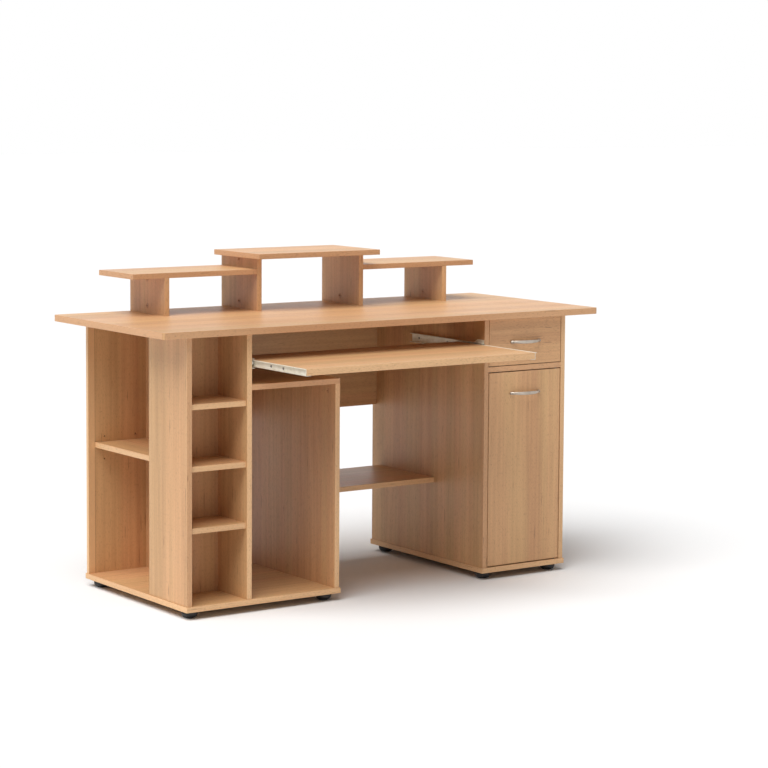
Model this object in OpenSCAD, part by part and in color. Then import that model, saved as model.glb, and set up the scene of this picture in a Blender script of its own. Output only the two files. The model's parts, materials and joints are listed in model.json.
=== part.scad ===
// Computer desk with two pedestals, a riser shelf and a sliding keyboard tray.
// Millimetres, +Z up. The front faces -Y, so the media pedestal is on the -X side.
// The keyboard tray is drawn pulled out, the drawer and the door closed. The origin is on the
// floor under the middle of the whole desk as drawn.

/* [Desktop] */
// Width of the desktop, left to right
top_width = 1460; // [1200:10:1800]
// Depth of the desktop, front to back
top_depth = 615; // [520:5:800]
// Height of the desktop's upper face above the floor
top_height = 770; // [630:5:920]
// Thickness of the desktop and of the keyboard tray
top_thickness = 18; // [16:1:28]
// Radius of the desktop's four corners, seen from above
top_corner_radius = 10; // [2:1:60]

/* [Carcass boards] */
// Thickness of the pedestal, shelf and riser boards
board = 15; // [12:1:22]
// Thickness of the two pedestal back boards
back_board = 12; // [6:1:18]
// How far the pedestals stand back from the desktop's front edge
front_setback = 20; // [5:1:60]
// How far the pedestals stand in from the desktop's rear edge
rear_setback = 37; // [0:1:80]
// How far each base board stands out round its pedestal
base_lip = 3; // [0:0.5:10]
// Height of the modesty panel hung under the desktop
modesty_height = 300; // [150:5:450]
// How far the modesty panel stands in from the pedestals' rear edges
modesty_inset = 6; // [0:1:30]

/* [Feet] */
// Height of the plastic glide feet
foot_height = 21; // [8:1:40]
// Diameter of a glide foot under the base board
foot_diameter = 44; // [30:1:60]
// Distance from the pedestal's sides to the foot centres
foot_inset_x = 28; // [22:1:60]
// Distance from the pedestal's front and rear edges to the foot centres
foot_inset_y = 36; // [22:1:80]

/* [Media pedestal] */
// How far the desktop runs out past the media pedestal
left_overhang = 82; // [20:1:200]
// Clear width of the disc rack
cd_width = 170; // [130:1:260]
// Clear depth of the disc rack
cd_depth = 150; // [130:1:200]
// Depth of the short outer panel beside the disc rack
outer_panel_depth = 203; // [180:1:400]
// Clear height of the top disc compartment
cd_top_clear = 178; // [130:1:220]
// Distance from one disc shelf to the next
cd_pitch = 165; // [145:1:200]
// How far the disc shelves stand back from the panel edges
cd_recess = 5; // [0:1:20]
// Height of the bookcase shelf's upper face above the floor
bookcase_shelf_height = 409; // [250:1:550]
// How far the bookcase shelf stands in from the pedestal's open side
bookcase_shelf_inset = 21; // [0:1:60]
// Clear width of the computer bay
pc_width = 268; // [200:1:350]
// Gap between the keyboard tray and the computer bay's roof
pc_roof_gap = 47; // [25:1:120]

/* [Drawer pedestal] */
// How far the desktop runs out past the drawer pedestal
right_overhang = 106; // [20:1:200]
// Outer width of the drawer pedestal
right_width = 294; // [240:1:450]
// Height of the drawer opening
drawer_opening = 137; // [110:1:220]
// Gap round the drawer front
front_gap = 2; // [1:0.5:4]
// Air between the door's turning corners and the side panel
door_corner_air = 0.5; // [0.4:0.1:2]
// Space left behind the closed drawer
drawer_back_space = 81; // [20:1:120]
// Height of the drawer box
drawer_box_height = 95; // [60:1:150]
// Thickness of the drawer's side and back boards
drawer_board = 12; // [10:1:16]
// Thickness of the drawer bottom
drawer_bottom_board = 4; // [3:0.5:8]
// Distance from the door's edge to its pivot pins
pivot_inset = 10; // [8:0.5:16]
// Height of the cupboard shelf's upper face above the floor
cupboard_shelf_height = 325; // [150:1:480]

/* [Low shelf] */
// Height of the low shelf's upper face above the floor
low_shelf_height = 268; // [120:1:400]
// Depth of the low shelf
low_shelf_depth = 284; // [150:1:400]
// Gap between the low shelf and the modesty panel's plane
low_shelf_back_gap = 14; // [0:1:60]

/* [Keyboard tray] */
// Clear height between the keyboard tray and the desktop
tray_clear = 71; // [50:1:120]
// Depth of the keyboard tray
tray_depth = 360; // [300:5:420]
// How far the tray is drawn pulled out
tray_out = 246; // [0:1:260]

/* [Runners] */
// Space between a sliding board and the panel beside it
runner_gap = 12.5; // [12:0.1:14]
// Length of the keyboard tray's runners
tray_runner_length = 350; // [300:5:400]
// Steel sheet thickness of the runners
runner_sheet = 1.2; // [0.8:0.1:2]
// Radius of the runner rollers
roller_radius = 5.5; // [5:0.1:6]
// Width of the runner rollers
roller_width = 5; // [4:0.1:6]

/* [Riser shelf] */
// Overall length of the riser
riser_length = 1172; // [900:2:1400]
// Distance between the outer faces of the outer uprights
riser_outer_span = 972; // [700:2:1200]
// Distance between the outer faces of the inner uprights
riser_inner_span = 366; // [280:2:500]
// Height of the side shelves' upper faces above the desktop
riser_low_height = 120; // [80:1:200]
// Height of the centre board's upper face above the desktop
riser_high_height = 166; // [140:1:260]
// Depth of the uprights and side shelves
riser_depth = 197; // [150:1:260]
// How far the centre board runs out past the inner uprights at each end
riser_centre_overhang = 25; // [0:1:60]
// How far the centre board runs out in front of the uprights
riser_front_overhang = 50; // [0:1:80]

/* [Handles] */
// Overall length of a bow handle
handle_length = 115; // [105:1:140]
// Distance between a handle's screws
handle_centres = 96; // [80:1:104]
// How far a handle stands out from its board
handle_reach = 24; // [20:1:35]
// Height of a handle's bar
handle_bar_height = 10; // [6:0.5:14]
// Thickness of a handle's bar
handle_bar_thickness = 5; // [4:0.5:7]

/* [Fittings] */
// Diameter of the cam fittings
cam_diameter = 15; // [12:1:18]
// Distance from a panel's end to its cam fitting, but for those close under the riser's boards
cam_edge_distance = 22; // [20:1:34]
// Diameter of the shelf pins and their holes
pin_diameter = 5; // [4:0.5:6]
// Spacing of the shelf pin holes
pin_pitch = 32; // [25:1:64]
// Radial clearance of pins and axles that turn
running_clearance = 0.1; // [0.05:0.01:0.2]
// Air left between pieces that slide past each other
sliding_clearance = 0.4; // [0.3:0.1:1]

/* [Hidden] */
$fn = 64;
overlap = 1;

// Left to right
x_outer = left_overhang - top_width / 2;
x_divider = x_outer + board + cd_width;
x_pc = x_divider + board;
x_pc_panel = x_pc + pc_width;
x_knee = x_pc_panel + board;
x_right_end = top_width / 2 - right_overhang;
x_right = x_right_end - right_width;
x_cabinet = x_right + board;
cabinet_width = right_width - 2 * board;
x_cabinet_end = x_cabinet + cabinet_width;

// Front to back: the tray or the handles reach out in front of the desktop
front_reach = max(0, max(tray_out, handle_reach) - front_setback);
y_top_front = front_reach - (top_depth + front_reach) / 2;
y_top_rear = y_top_front + top_depth;
y_top_middle = (y_top_front + y_top_rear) / 2;
y_front = y_top_front + front_setback;
y_rear = y_top_rear - rear_setback;
carcass_depth = y_rear - y_front;
y_back_board = y_rear - back_board;
y_modesty = y_rear - modesty_inset - board;
y_rack_back = y_front + cd_depth;
y_low_shelf = y_modesty - low_shelf_back_gap - low_shelf_depth;

// Bottom to top
z_base = foot_height + board;
z_under = top_height - top_thickness;
side_height = z_under - z_base;
z_tray = z_under - tray_clear - top_thickness;
z_pc_roof = z_tray - pc_roof_gap;
z_rail = z_under - drawer_opening - board;
z_modesty = z_under - modesty_height;

// Shelf pins
pin_length = 16;
pin_hole_depth = 8;
pin_from_corner = 37;
pin_from_shelf_edge = 30;
pin_from_divider = 35;
bookcase_pin_x = [
    x_outer + bookcase_shelf_inset + pin_from_shelf_edge,
    x_divider - pin_from_divider
];
shelf_gap = 1;

// Runners: heights are counted from the underside of the sliding board
rail_width = 10;
ear_rise = 9;
ear_length = 50;
rail_margin = 4;
rail_bottom = -rail_margin;
rail_top = top_thickness + rail_margin;
track_width = 6;
under_flange = 14;
roller_end_distance = 9;
axle_radius = 2;
axle_head_radius = 3;
axle_head = 0.6;
rail_roller_z = top_thickness - runner_sheet - sliding_clearance - roller_radius;
runner_roller_z = rail_bottom + runner_sheet + sliding_clearance + roller_radius;
rail_front_play = 2;

// Screws
screw_radius = 1.5;
screw_length = 9;
screw_head_radius = 3.5;
screw_head = 1.4;
screw_z = top_thickness / 2;
bolt_radius = 2;
bolt_head_radius = 4;
bolt_head = 2.2;
bolt_grip = 8;
tray_screws = [0.31, 0.48, 0.86];
drawer_screws = [0.2, 0.5, 0.86];
rail_screws_at = [0.12, 0.5, 0.9];

// Both rollers' axles end short of the screw heads on the sheet opposite
axle_length = runner_gap - 2 * runner_sheet - screw_head - sliding_clearance;
roller_start = axle_length - axle_head - sliding_clearance - roller_width;

// Keyboard tray
tray_width = x_right - x_pc - 2 * runner_gap;
x_tray = x_pc + runner_gap;
y_tray = y_front - tray_out;
y_tray_rail = y_front + rail_front_play;

// Drawer
drawer_depth = carcass_depth - board - back_board - drawer_back_space;
drawer_box_width = cabinet_width - 2 * runner_gap;
x_drawer = x_cabinet + runner_gap;
y_drawer = y_front + board;
drawer_lift = 10;
z_drawer = z_rail + board + drawer_lift;
groove_depth = 5;
groove_height = 13;
drawer_runner_length = drawer_depth;
drawer_front_z = z_rail + board + front_gap;
drawer_front_height = drawer_opening - 2 * front_gap;
y_drawer_rail = y_drawer + rail_front_play;

// Door: its gap lets the corners nearest the pivots turn past the side panel
door_corner_radius = sqrt(pow(pivot_inset, 2) + pow(board / 2, 2));
door_gap = door_corner_radius - pivot_inset + door_corner_air;
door_width = cabinet_width - 2 * door_gap;
door_height = z_rail - z_base - 2 * door_gap;
x_pivot = x_cabinet_end - door_gap - pivot_inset;
y_pivot = y_front + board / 2;
pivot_radius = 2.5;
pivot_length = 20;
pivot_in_door = 9;
pivot_in_board = pivot_length - pivot_in_door - door_gap;

// Handles
handle_x = x_cabinet + cabinet_width / 2;
drawer_handle_z = drawer_front_z + drawer_front_height / 2;
door_handle_drop = 62;
door_handle_z = z_base + door_gap + door_height - door_handle_drop;
handle_boss_radius = 4.5;

// Magnetic catch
catch_width = 40;
catch_height = 12;
catch_depth = 14;
catch_plate = 1.6;
catch_from_edge = 20;

// Feet
// Share of the foot's height, share of its diameter there
foot_profile = [[0, 0.56], [0.28, 0.84], [0.6, 1], [1, 1]];
foot_screw_recess = 5;
foot_screw_length = 25;

// Riser
y_riser = y_top_rear - riser_depth;
riser_side_height = riser_low_height - board;
riser_inner_height = riser_high_height - board;
x_riser_outer = riser_outer_span / 2;
x_riser_inner = riser_inner_span / 2;
y_riser_mid = y_riser + riser_depth / 2;
cam_depth = 11;
cam_top_wall = 0.5;
cam_top_distance = cam_diameter / 2 + cam_top_wall;

// Piece colours
beech = [0.86, 0.68, 0.48];
steel_cream = [0.93, 0.91, 0.82];
steel = [0.75, 0.75, 0.76];
dark_plastic = [0.12, 0.12, 0.13];
white_plastic = [0.92, 0.92, 0.9];

// ---------------------------------------------------------------- shared shapes

// A cylinder along X, from x = 0 to x = length
module rod_x(length, radius) {
    rotate([0, 90, 0]) cylinder(h = length, r = radius);
}

// A cylinder along Y, from y = 0 to y = length
module rod_y(length, radius) {
    rotate([-90, 0, 0]) cylinder(h = length, r = radius);
}

// Draws its children on the left, or mirrored about the given x on the right
module on_side(right, middle) {
    if (right)
        translate([2 * middle, 0, 0]) mirror([1, 0, 0]) children();
    else
        children();
}

// A steel rail screwed to a panel whose face is x = 0: a channel open towards +X,
// with an ear standing up at its front end
module rail_profile(length) {
    translate([0, 0, rail_bottom]) cube([runner_sheet, length, rail_top - rail_bottom]);
    translate([0, 0, rail_bottom]) cube([rail_width, length, runner_sheet]);
    translate([0, 0, rail_top - runner_sheet]) cube([rail_width, length, runner_sheet]);
    rotate([90, 0, 90])
        linear_extrude(runner_sheet)
            polygon([
                [0, rail_top - runner_sheet],
                [0, rail_top + ear_rise],
                [ear_length * 0.6, rail_top + ear_rise],
                [ear_length, rail_top - runner_sheet]
            ]);
}

// The rail with its screw holes and the axle of its front roller
module rail(length) {
    difference() {
        rail_profile(length);
        for (at = rail_screws_at)
            translate([-overlap, at * length, screw_z])
                rod_x(runner_sheet + 2 * overlap, screw_radius);
    }
    translate([runner_sheet, roller_end_distance, rail_roller_z]) axle(axle_length);
}

// A headed axle along +X
module axle(length) {
    rod_x(length, axle_radius);
    translate([length - axle_head, 0, 0]) rod_x(axle_head, axle_head_radius);
}

// A roller on an axle along +X
module roller() {
    difference() {
        rod_x(roller_width, roller_radius);
        translate([-overlap, 0, 0])
            rod_x(roller_width + 2 * overlap, axle_radius + running_clearance);
    }
}

// The front roller of a rail on the panel face x = 0
module rail_roller() {
    translate([runner_sheet + roller_start, roller_end_distance, rail_roller_z]) roller();
}

// A runner under a board whose left face is x = 0, from y = 0 backwards.
// Its track reaches out over the rail's roller, its flange lies under the board.
module runner(length, holes) {
    difference() {
        union() {
            translate([-runner_sheet, 0, -runner_sheet])
                cube([runner_sheet, length, top_thickness + runner_sheet]);
            translate([-runner_sheet, 0, -runner_sheet])
                cube([runner_sheet + under_flange, length, runner_sheet]);
            translate([-runner_sheet - track_width, 0, top_thickness - runner_sheet])
                cube([runner_sheet + track_width, length, runner_sheet]);
        }
        for (at = holes)
            translate([-runner_sheet - overlap, at * length, screw_z])
                rod_x(runner_sheet + 2 * overlap, screw_radius);
    }
    translate([-runner_sheet, length - roller_end_distance, runner_roller_z])
        mirror([1, 0, 0]) axle(axle_length);
}

// The rear roller of a runner on a board whose left face is x = 0
module runner_roller(length) {
    translate([
        -runner_sheet - roller_start - roller_width,
        length - roller_end_distance,
        runner_roller_z
    ]) roller();
}

// A pan-head screw along +X, its head standing on the face x = 0
module pan_screw() {
    translate([-screw_head, 0, 0]) rod_x(screw_head, screw_head_radius);
    rod_x(screw_length, screw_radius);
}

// Pilot holes along +X into the face x = 0
module pilot_holes(length, positions) {
    for (at = positions)
        translate([-overlap, at * length, screw_z])
            rod_x(screw_length - runner_sheet + overlap, screw_radius);
}

// Screws along +X through steel lying on the face x = 0
module runner_screw_row(length, positions) {
    for (at = positions)
        translate([-runner_sheet, at * length, screw_z]) pan_screw();
}

// Holes for one cam fitting in the face x = 0 of a board
module cam_hole() {
    translate([-overlap, 0, 0]) rod_x(cam_depth + overlap, cam_diameter / 2);
}

// A cam with its cross slot, flush with the face x = 0
module cam() {
    slot = [1.5, 1.2, cam_diameter * 0.55];
    difference() {
        rod_x(cam_depth, cam_diameter / 2);
        for (turn = [0, 90])
            rotate([turn, 0, 0])
                translate([-overlap, -slot[1] / 2, -slot[2] / 2])
                    cube([slot[0] + overlap, slot[1], slot[2]]);
    }
}

// An upright of the riser with its two cam holes, its left face at x = 0
module riser_upright(height) {
    difference() {
        cube([board, riser_depth, height]);
        for (z = [cam_edge_distance, height - cam_top_distance])
            translate([0, riser_depth / 2, z]) cam_hole();
    }
}

// A bow handle standing on the face y = 0, reaching to -Y, centred on x = 0, z = 0
module bow_handle() {
    half = handle_length / 2;
    bow_radius = (pow(half, 2) + pow(handle_reach, 2)) / (2 * handle_reach);
    bow_centre = bow_radius - handle_reach;
    end_radius = handle_bar_thickness / 2;
    mid_radius = bow_radius - end_radius;
    bar_straight = handle_bar_height - handle_bar_thickness;
    boss_length = sqrt(pow(mid_radius, 2) - pow(handle_centres / 2, 2)) - bow_centre;
    difference() {
        union() {
            intersection() {
                translate([0, bow_centre, 0]) rotate_extrude($fn = 180) {
                    translate([mid_radius - end_radius, -bar_straight / 2])
                        square([handle_bar_thickness, bar_straight]);
                    for (side = [-1, 1])
                        translate([mid_radius, side * bar_straight / 2])
                            circle(r = end_radius, $fn = 32);
                }
                translate([-half - overlap, -handle_reach - overlap, -handle_bar_height])
                    cube([handle_length + 2 * overlap, handle_reach + overlap, 2 * handle_bar_height]);
            }
            for (side = [-1, 1])
                translate([side * handle_centres / 2, 0, 0])
                    mirror([0, 1, 0]) rod_y(boss_length, handle_boss_radius);
        }
        for (side = [-1, 1])
            translate([side * handle_centres / 2, -bolt_grip, 0])
                rod_y(bolt_grip + overlap, bolt_radius);
    }
}

// The two bolts of a handle, from the back of a board whose front is y = 0
module handle_bolts() {
    for (side = [-1, 1])
        translate([side * handle_centres / 2, -bolt_grip, 0]) {
            rod_y(board + bolt_grip, bolt_radius);
            translate([0, board + bolt_grip, 0]) rod_y(bolt_head, bolt_head_radius);
        }
}

// Holes for a handle's bolts in a board whose front is y = 0
module handle_holes() {
    for (side = [-1, 1])
        translate([side * handle_centres / 2, -overlap, 0])
            rod_y(board + 2 * overlap, bolt_radius);
}

// A base board round a pedestal, with the pilot holes of its four feet
module base_board(x_start, width) {
    difference() {
        translate([x_start - base_lip, y_front - base_lip, foot_height])
            cube([width + 2 * base_lip, carcass_depth + 2 * base_lip, board]);
        for (spot = foot_spots(x_start, width))
            translate([spot[0], spot[1], foot_height - overlap])
                cylinder(h = foot_screw_length - foot_height + foot_screw_recess + overlap,
                         r = bolt_radius);
    }
}

function foot_spots(x_start, width) = [
    for (x = [x_start + foot_inset_x, x_start + width - foot_inset_x])
        for (y = [y_front + foot_inset_y, y_rear - foot_inset_y])
            [x, y]
];

left_width = x_knee - x_outer;
all_foot_spots = concat(foot_spots(x_outer, left_width), foot_spots(x_right, right_width));

// Where the two shelves' pins stand: [x, y, z, turn about Z of a pin that points to +Y]
bookcase_pin_z = bookcase_shelf_height - board - pin_diameter / 2;
cupboard_pin_z = cupboard_shelf_height - board - pin_diameter / 2;
cupboard_pin_y = [y_drawer + pin_from_corner, y_back_board - pin_from_corner];
pin_spots = concat(
    [for (x = bookcase_pin_x) [x, y_rack_back + board, bookcase_pin_z, 0]],
    [for (x = bookcase_pin_x) [x, y_back_board, bookcase_pin_z, 180]],
    [for (y = cupboard_pin_y) [x_cabinet, y, cupboard_pin_z, -90]],
    [for (y = cupboard_pin_y) [x_cabinet_end, y, cupboard_pin_z, 90]]
);

// One shelf pin, half in its hole behind y = 0
module shelf_pin() {
    translate([0, -pin_hole_depth, 0]) rod_y(pin_length, pin_diameter / 2);
}

// A column of pin holes above and below every pin
module pin_holes() {
    for (spot = pin_spots)
        for (step = [-1, 0, 1])
            translate([spot[0], spot[1], spot[2] + step * pin_pitch])
                rotate([0, 0, spot[3]])
                    translate([0, -pin_hole_depth, 0])
                        rod_y(pin_hole_depth + overlap, pin_diameter / 2);
}

// Where the cams show: [x, y, z] of the left face each one lies in
riser_cams = [
    for (x = [-x_riser_outer, x_riser_outer - board])
        for (z = [cam_edge_distance, riser_side_height - cam_top_distance])
            [x, y_riser_mid, top_height + z],
    for (x = [-x_riser_inner, x_riser_inner - board])
        for (z = [cam_edge_distance, riser_inner_height - cam_top_distance])
            [x, y_riser_mid, top_height + z]
];
pc_cam_inset = 38;
pc_cams = [
    for (y = [y_front + pc_cam_inset, y_modesty - pc_cam_inset])
        [x_pc_panel, y, z_pc_roof - board - cam_edge_distance]
];

// ---------------------------------------------------------------- desktop and pedestals

module desktop() {
    color(beech)
        translate([0, y_top_middle, z_under])
            linear_extrude(top_thickness) {
                square([top_width - 2 * top_corner_radius, top_depth], center = true);
                square([top_width, top_depth - 2 * top_corner_radius], center = true);
                for (x = [-1, 1])
                    for (y = [-1, 1])
                        translate([
                            x * (top_width / 2 - top_corner_radius),
                            y * (top_depth / 2 - top_corner_radius)
                        ]) circle(r = top_corner_radius);
            }
}

module left_outer_panel() {
    color(beech)
        translate([x_outer, y_front, z_base]) cube([board, outer_panel_depth, side_height]);
}

module divider_panel() {
    color(beech)
        difference() {
            translate([x_divider, y_front, z_base]) cube([board, carcass_depth, side_height]);
            translate([x_pc, y_tray_rail, z_tray])
                mirror([1, 0, 0]) pilot_holes(tray_runner_length, rail_screws_at);
        }
}

module pc_side_panel() {
    color(beech)
        difference() {
            translate([x_pc_panel, y_front, z_base])
                cube([board, y_modesty - y_front, z_pc_roof - board - z_base]);
            for (spot = pc_cams)
                translate(spot) cam_hole();
        }
}

module pc_roof_board() {
    color(beech)
        translate([x_pc, y_front, z_pc_roof - board])
            cube([pc_width + board, y_modesty - y_front, board]);
}

module left_base_board() {
    color(beech) base_board(x_outer, left_width);
}

module left_back_board() {
    color(beech)
        difference() {
            translate([x_outer, y_back_board, z_base])
                cube([x_divider - x_outer, back_board, side_height]);
            pin_holes();
        }
}

module cd_rack_back() {
    color(beech)
        difference() {
            translate([x_outer + board, y_rack_back, z_base]) cube([cd_width, board, side_height]);
            pin_holes();
        }
}

module cd_shelf(number) {
    color(beech)
        translate([
            x_outer + board,
            y_front + cd_recess,
            z_under - cd_top_clear - board - number * cd_pitch
        ]) cube([cd_width, cd_depth - cd_recess, board]);
}

module cd_shelf_upper() cd_shelf(0);

module cd_shelf_middle() cd_shelf(1);

module cd_shelf_lower() cd_shelf(2);

module bookcase_shelf() {
    y_start = y_rack_back + board + shelf_gap;
    shelf_x = x_outer + bookcase_shelf_inset;
    color(beech)
        translate([shelf_x, y_start, bookcase_shelf_height - board])
            cube([x_divider - shelf_gap - shelf_x, y_back_board - shelf_gap - y_start, board]);
}

module modesty_panel() {
    color(beech)
        translate([x_pc, y_modesty, z_modesty]) cube([x_right - x_pc, board, modesty_height]);
}

module low_shelf() {
    color(beech)
        translate([x_knee, y_low_shelf, low_shelf_height - board])
            cube([x_right - x_knee, low_shelf_depth, board]);
}

// ---------------------------------------------------------------- drawer pedestal

module right_inner_panel() {
    color(beech)
        difference() {
            translate([x_right, y_front, z_base]) cube([board, carcass_depth, side_height]);
            translate([x_right, y_tray_rail, z_tray])
                pilot_holes(tray_runner_length, rail_screws_at);
            translate([x_cabinet, y_drawer_rail, z_drawer])
                mirror([1, 0, 0]) pilot_holes(drawer_runner_length, rail_screws_at);
            pin_holes();
        }
}

module right_outer_panel() {
    color(beech)
        difference() {
            translate([x_cabinet_end, y_front, z_base]) cube([board, carcass_depth, side_height]);
            translate([x_cabinet_end, y_drawer_rail, z_drawer])
                pilot_holes(drawer_runner_length, rail_screws_at);
            pin_holes();
        }
}

module right_base_board() {
    color(beech)
        difference() {
            base_board(x_right, right_width);
            translate([x_pivot, y_pivot, z_base - pivot_in_board])
                cylinder(h = pivot_length, r = pivot_radius);
        }
}

module right_back_board() {
    color(beech)
        translate([x_cabinet, y_back_board, z_base])
            cube([cabinet_width, back_board, side_height]);
}

module drawer_rail_board() {
    color(beech)
        difference() {
            translate([x_cabinet, y_front, z_rail])
                cube([cabinet_width, y_back_board - y_front, board]);
            translate([x_pivot, y_pivot, z_rail - door_gap - pivot_in_door])
                cylinder(h = pivot_length, r = pivot_radius);
        }
}

module cupboard_shelf() {
    y_start = y_drawer + catch_from_edge;
    color(beech)
        translate([x_cabinet + shelf_gap, y_start, cupboard_shelf_height - board])
            cube([cabinet_width - 2 * shelf_gap, y_back_board - shelf_gap - y_start, board]);
}

// ---------------------------------------------------------------- riser shelf

module riser_centre_board() {
    length = riser_inner_span + 2 * riser_centre_overhang;
    color(beech)
        translate([
            -length / 2,
            y_riser - riser_front_overhang,
            top_height + riser_inner_height
        ]) cube([length, riser_depth + riser_front_overhang, board]);
}

module riser_side_shelf() {
    translate([-riser_length / 2, y_riser, top_height + riser_side_height])
        cube([riser_length / 2 - x_riser_inner, riser_depth, board]);
}

module riser_left_shelf() {
    color(beech) riser_side_shelf();
}

module riser_right_shelf() {
    color(beech) mirror([1, 0, 0]) riser_side_shelf();
}

module riser_upright_left_outer() {
    color(beech)
        translate([-x_riser_outer, y_riser, top_height]) riser_upright(riser_side_height);
}

module riser_upright_left_inner() {
    color(beech)
        translate([-x_riser_inner, y_riser, top_height]) riser_upright(riser_inner_height);
}

module riser_upright_right_inner() {
    color(beech)
        translate([x_riser_inner - board, y_riser, top_height])
            riser_upright(riser_inner_height);
}

module riser_upright_right_outer() {
    color(beech)
        translate([x_riser_outer - board, y_riser, top_height])
            riser_upright(riser_side_height);
}

// ---------------------------------------------------------------- feet and fittings

// A bowl-shaped glide foot, widening from its sole to its top
module foot() {
    difference() {
        for (i = [1 : len(foot_profile) - 1])
            translate([0, 0, foot_profile[i - 1][0] * foot_height])
                cylinder(h = (foot_profile[i][0] - foot_profile[i - 1][0]) * foot_height,
                         d1 = foot_profile[i - 1][1] * foot_diameter,
                         d2 = foot_profile[i][1] * foot_diameter);
        translate([0, 0, -overlap])
            cylinder(h = foot_height + 2 * overlap, r = bolt_radius);
        translate([0, 0, -overlap])
            cylinder(h = foot_screw_recess + overlap, r = bolt_head_radius);
    }
}

module feet() {
    color(dark_plastic)
        for (spot = all_foot_spots)
            translate([spot[0], spot[1], 0]) foot();
}

module foot_screws() {
    color(steel)
        for (spot = all_foot_spots)
            translate([spot[0], spot[1], foot_screw_recess]) {
                cylinder(h = foot_screw_length, r = bolt_radius);
                translate([0, 0, -bolt_head]) cylinder(h = bolt_head, r = bolt_head_radius);
            }
}

module shelf_pins() {
    color(steel)
        for (spot = pin_spots)
            translate([spot[0], spot[1], spot[2]]) rotate([0, 0, spot[3]]) shelf_pin();
}

module cam_fittings() {
    color(steel)
        for (spot = concat(riser_cams, pc_cams))
            translate(spot) cam();
}

module door_pivots() {
    color(steel) {
        translate([x_pivot, y_pivot, z_base - pivot_in_board])
            cylinder(h = pivot_length, r = pivot_radius);
        translate([x_pivot, y_pivot, z_rail - door_gap - pivot_in_door])
            cylinder(h = pivot_length, r = pivot_radius);
    }
}

module magnetic_catch() {
    color(white_plastic)
        translate([
            x_cabinet + catch_from_edge,
            y_drawer + catch_plate + sliding_clearance,
            z_rail - catch_height
        ]) cube([catch_width, catch_depth, catch_height]);
}

// ---------------------------------------------------------------- fixed rails

module tray_rail_left() {
    color(steel_cream) translate([x_pc, y_tray_rail, z_tray]) rail(tray_runner_length);
}

module tray_rail_right() {
    color(steel_cream)
        translate([x_right, y_tray_rail, z_tray])
            mirror([1, 0, 0]) rail(tray_runner_length);
}

module tray_rail_rollers() {
    color(white_plastic) {
        translate([x_pc, y_tray_rail, z_tray]) rail_roller();
        translate([x_right, y_tray_rail, z_tray]) mirror([1, 0, 0]) rail_roller();
    }
}

module drawer_rail_left() {
    color(steel_cream)
        translate([x_cabinet, y_drawer_rail, z_drawer]) rail(drawer_runner_length);
}

module drawer_rail_right() {
    color(steel_cream)
        translate([x_cabinet_end, y_drawer_rail, z_drawer])
            mirror([1, 0, 0]) rail(drawer_runner_length);
}

module drawer_rail_rollers() {
    color(white_plastic) {
        translate([x_cabinet, y_drawer_rail, z_drawer]) rail_roller();
        translate([x_cabinet_end, y_drawer_rail, z_drawer]) mirror([1, 0, 0]) rail_roller();
    }
}

module rail_screws() {
    color(steel) {
        translate([x_pc, y_tray_rail, z_tray])
            mirror([1, 0, 0]) runner_screw_row(tray_runner_length, rail_screws_at);
        translate([x_right, y_tray_rail, z_tray])
            runner_screw_row(tray_runner_length, rail_screws_at);
        translate([x_cabinet, y_drawer_rail, z_drawer])
            mirror([1, 0, 0]) runner_screw_row(drawer_runner_length, rail_screws_at);
        translate([x_cabinet_end, y_drawer_rail, z_drawer])
            runner_screw_row(drawer_runner_length, rail_screws_at);
    }
}

// ---------------------------------------------------------------- keyboard tray

module keyboard_tray() {
    color(beech)
        difference() {
            translate([x_tray, y_tray, z_tray]) cube([tray_width, tray_depth, top_thickness]);
            translate([x_tray, y_tray, z_tray]) pilot_holes(tray_runner_length, tray_screws);
            translate([x_tray + tray_width, y_tray, z_tray])
                mirror([1, 0, 0]) pilot_holes(tray_runner_length, tray_screws);
        }
}

module tray_runner_left() {
    color(steel_cream)
        translate([x_tray, y_tray, z_tray]) runner(tray_runner_length, tray_screws);
}

module tray_runner_right() {
    color(steel_cream)
        translate([x_tray + tray_width, y_tray, z_tray])
            mirror([1, 0, 0]) runner(tray_runner_length, tray_screws);
}

module tray_runner_rollers() {
    color(white_plastic) {
        translate([x_tray, y_tray, z_tray]) runner_roller(tray_runner_length);
        translate([x_tray + tray_width, y_tray, z_tray])
            mirror([1, 0, 0]) runner_roller(tray_runner_length);
    }
}

module tray_runner_screws() {
    color(steel) {
        translate([x_tray, y_tray, z_tray]) runner_screw_row(tray_runner_length, tray_screws);
        translate([x_tray + tray_width, y_tray, z_tray])
            mirror([1, 0, 0]) runner_screw_row(tray_runner_length, tray_screws);
    }
}

// ---------------------------------------------------------------- drawer

// The drawer bottom, which stands in grooves round the box
module drawer_bottom_panel() {
    translate([
        x_drawer + drawer_board - groove_depth,
        y_drawer - groove_depth,
        z_drawer + groove_height
    ]) cube([
        drawer_box_width - 2 * (drawer_board - groove_depth),
        drawer_depth - drawer_board + 2 * groove_depth,
        drawer_bottom_board
    ]);
}

module drawer_front() {
    color(beech)
        difference() {
            translate([x_cabinet + front_gap, y_front, drawer_front_z])
                cube([cabinet_width - 2 * front_gap, board, drawer_front_height]);
            translate([handle_x, y_front, drawer_handle_z]) handle_holes();
            drawer_bottom_panel();
        }
}

module drawer_side(right) {
    color(beech)
        difference() {
            on_side(right, x_drawer + drawer_box_width / 2)
                difference() {
                    translate([x_drawer, y_drawer, z_drawer])
                        cube([drawer_board, drawer_depth, drawer_box_height]);
                    translate([x_drawer, y_drawer, z_drawer])
                        pilot_holes(drawer_runner_length, drawer_screws);
                }
            drawer_bottom_panel();
        }
}

module drawer_side_left() drawer_side(false);

module drawer_side_right() drawer_side(true);

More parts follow.
